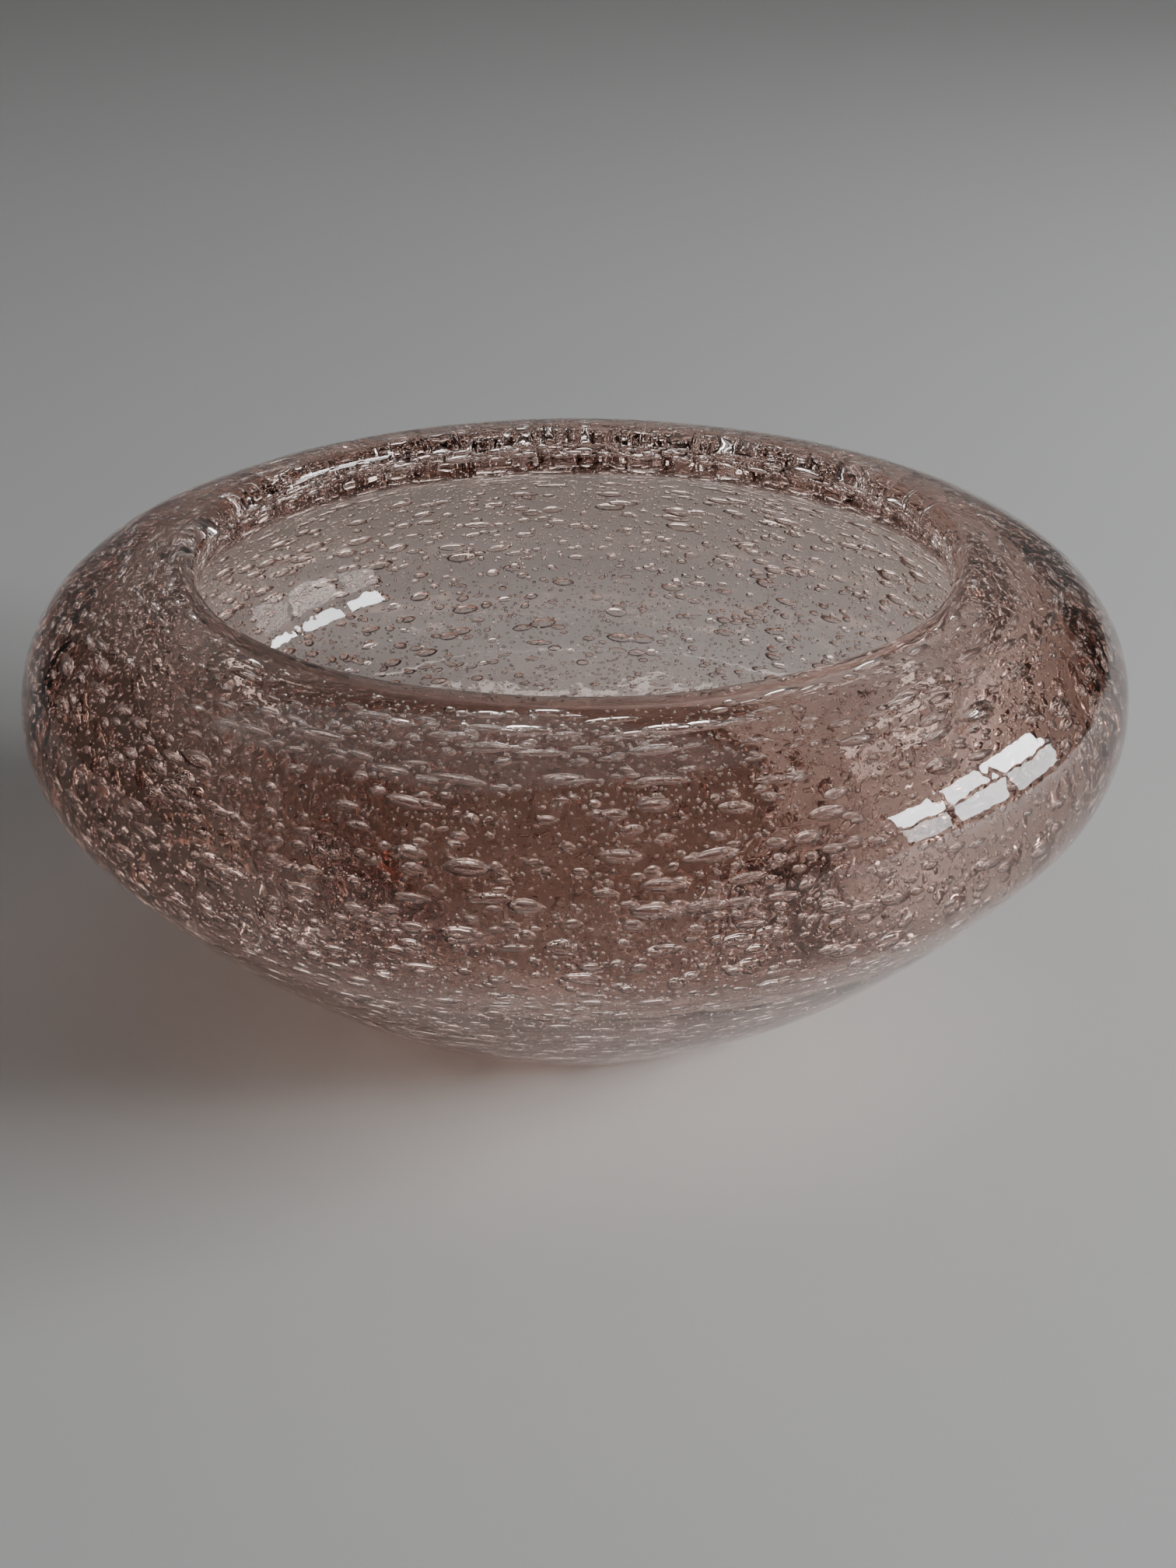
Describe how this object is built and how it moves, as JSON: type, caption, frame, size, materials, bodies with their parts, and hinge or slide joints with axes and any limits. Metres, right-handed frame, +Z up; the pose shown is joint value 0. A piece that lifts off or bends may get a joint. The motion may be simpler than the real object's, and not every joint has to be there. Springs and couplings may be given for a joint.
{
  "type": "art glass bowl",
  "caption": "Heavy round glass bowl with an incurved rim, a wide shoulder, a small ground foot and air bubbles trapped between clear gathers of rose-tinted glass.",
  "frame": {"origin": "middle of the ground foot, on the surface that the bowl stands on", "axes": "+Z up along the bowl's axis, out of the mouth; +X and +Y across the bowl, which is round, so their directions are free"},
  "size_m": [0.15, 0.15, 0.0613],
  "materials": {
    "clear_glass": "fire-polished, very pale rose",
    "bubble_glass": "pale rose, full of small trapped air bubbles"
  },
  "bodies": {
    "root": {"casing_gather": "clear_glass", "bubble_gather": "bubble_glass", "lining_gather": "clear_glass"}
  },
  "joints": []
}
